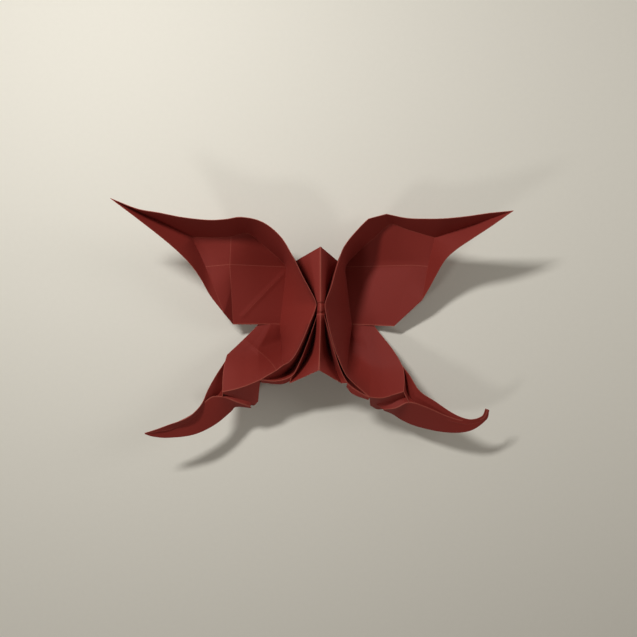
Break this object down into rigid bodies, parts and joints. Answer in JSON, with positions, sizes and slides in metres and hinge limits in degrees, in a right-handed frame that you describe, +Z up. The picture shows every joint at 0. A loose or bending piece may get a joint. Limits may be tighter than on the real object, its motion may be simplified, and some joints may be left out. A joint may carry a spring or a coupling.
{
  "type": "origami butterfly",
  "caption": "Butterfly folded from one square of red paper, with cupped wings, pointed tips, hooked tails and a ridged body.",
  "frame": {"origin": "on the table under the pinched waist of the body, in the middle between the wings", "axes": "+X to the right wingtip, +Y ahead over the head end, +Z up from the table"},
  "size_m": [0.1097, 0.0669, 0.0263],
  "materials": {
    "red_paper": "matte"
  },
  "bodies": {
    "root": {"folded_sheet": "red_paper"}
  },
  "joints": []
}
